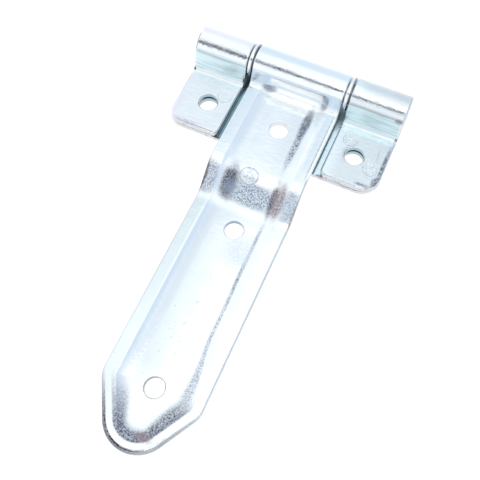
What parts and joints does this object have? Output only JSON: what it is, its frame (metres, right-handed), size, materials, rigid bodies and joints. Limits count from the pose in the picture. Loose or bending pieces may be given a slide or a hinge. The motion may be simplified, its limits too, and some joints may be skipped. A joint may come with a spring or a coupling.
{
  "type": "trailer door strap hinge",
  "caption": "Cranked strap hinge in zinc plated steel: a long ribbed strap with a tapered tip turns on a pin between the knuckles of a folded base bracket.",
  "frame": {"origin": "on the base bracket's mounting face, straight below the middle of the hinge pin", "axes": "+X along the hinge pin, +Z out of the mounting face through the pin, and the closed strap lies towards -Y"},
  "size_m": [0.108, 0.1983, 0.0299],
  "materials": {
    "bracket_zinc": "bright bluish zinc plating over rolled sheet",
    "strap_zinc": "bright bluish zinc plating over pressed sheet",
    "pin_steel": "plain zinc plated round bar",
    "washer_zinc": "bright zinc plating"
  },
  "bodies": {
    "base": {"base_bracket": "bracket_zinc", "hinge_pin": "pin_steel", "washer_left": "washer_zinc", "washer_right": "washer_zinc"},
    "strap": {"strap_leaf": "strap_zinc"}
  },
  "joints": [
    {"name": "strap_hinge", "type": "hinge", "parent": "base", "child": "strap", "pos_m": [0, 0, 0.0138], "axis": [-1, 0, 0], "range_deg": [0, 270]}
  ]
}
